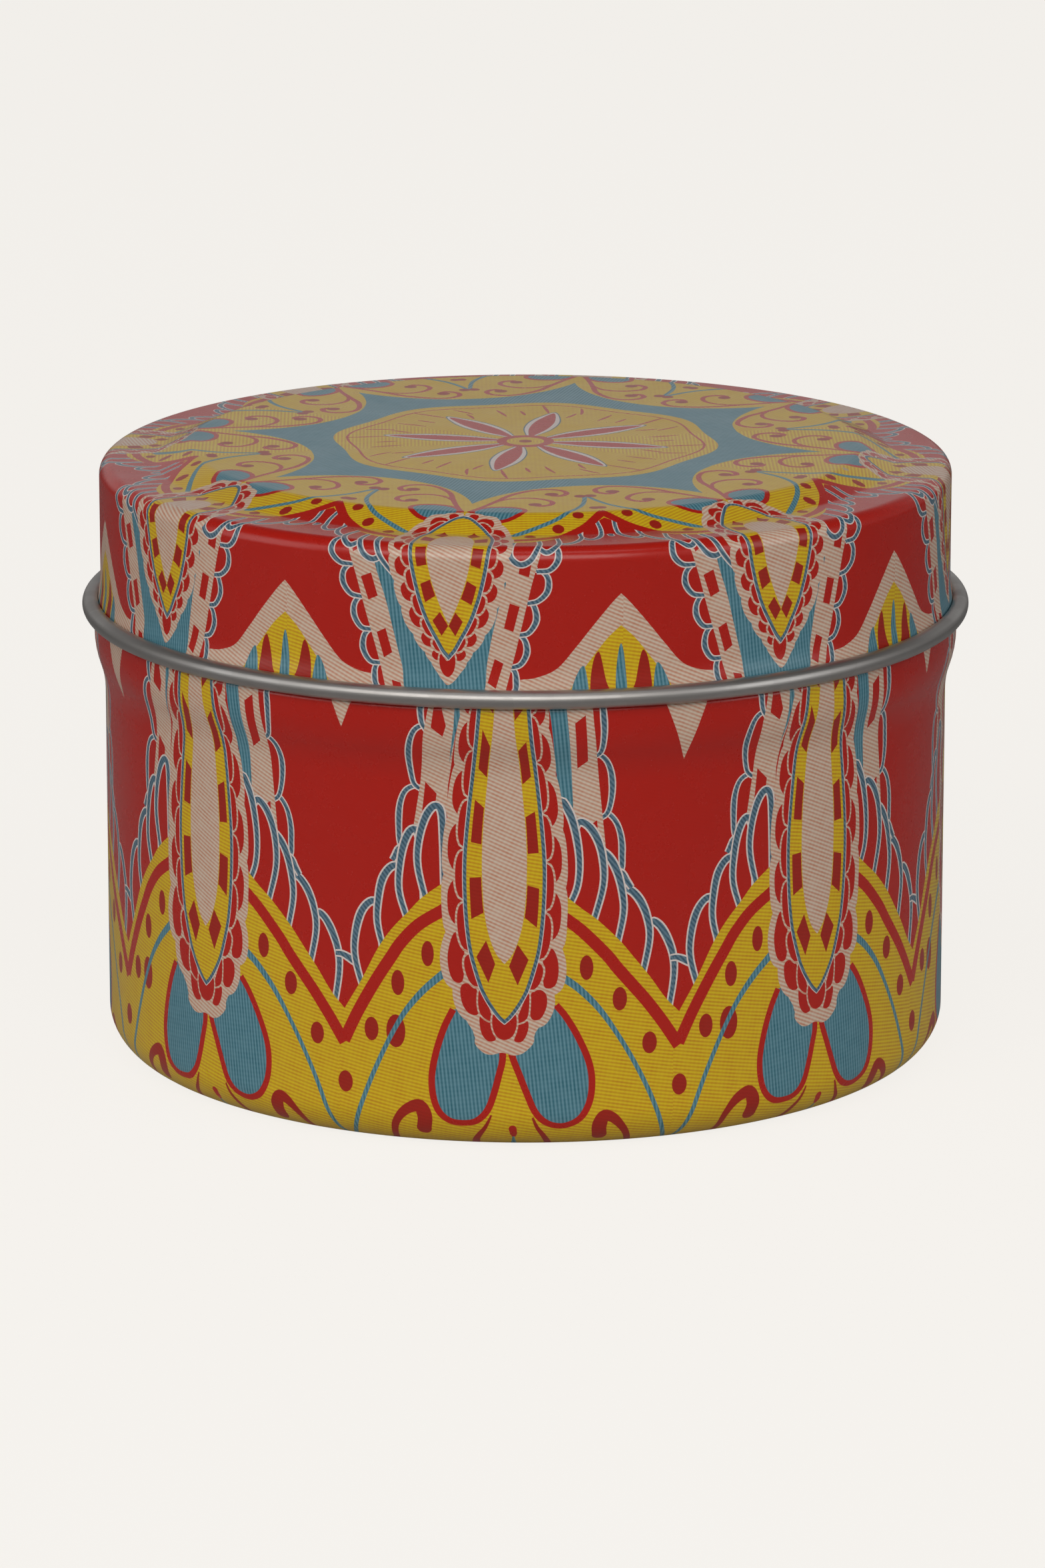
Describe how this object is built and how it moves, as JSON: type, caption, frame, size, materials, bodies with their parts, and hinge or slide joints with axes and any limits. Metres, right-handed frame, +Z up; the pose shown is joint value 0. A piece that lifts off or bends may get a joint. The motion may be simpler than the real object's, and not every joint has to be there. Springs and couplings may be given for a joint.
{
  "type": "round slip-lid tin",
  "caption": "Small round seamless tinplate spice tin with a lift-off slip lid, printed all over with a bright scalloped folk pattern.",
  "frame": {"origin": "on the tin's axis, at the plane of the foot ring that it stands on", "axes": "+Z up along the axis through the lid, +X to the right and -Y towards the viewer of the front"},
  "size_m": [0.0804, 0.0804, 0.0554],
  "materials": {
    "printed_tinplate": "satin lacquer over litho print"
  },
  "bodies": {
    "tin_body": {"tin_body": "printed_tinplate"},
    "lid": {"lid": "printed_tinplate"}
  },
  "joints": [
    {"name": "lid_lift", "type": "slide", "parent": "tin_body", "child": "lid", "axis": [0, 0, 1], "range_m": [0, 0.04]}
  ]
}
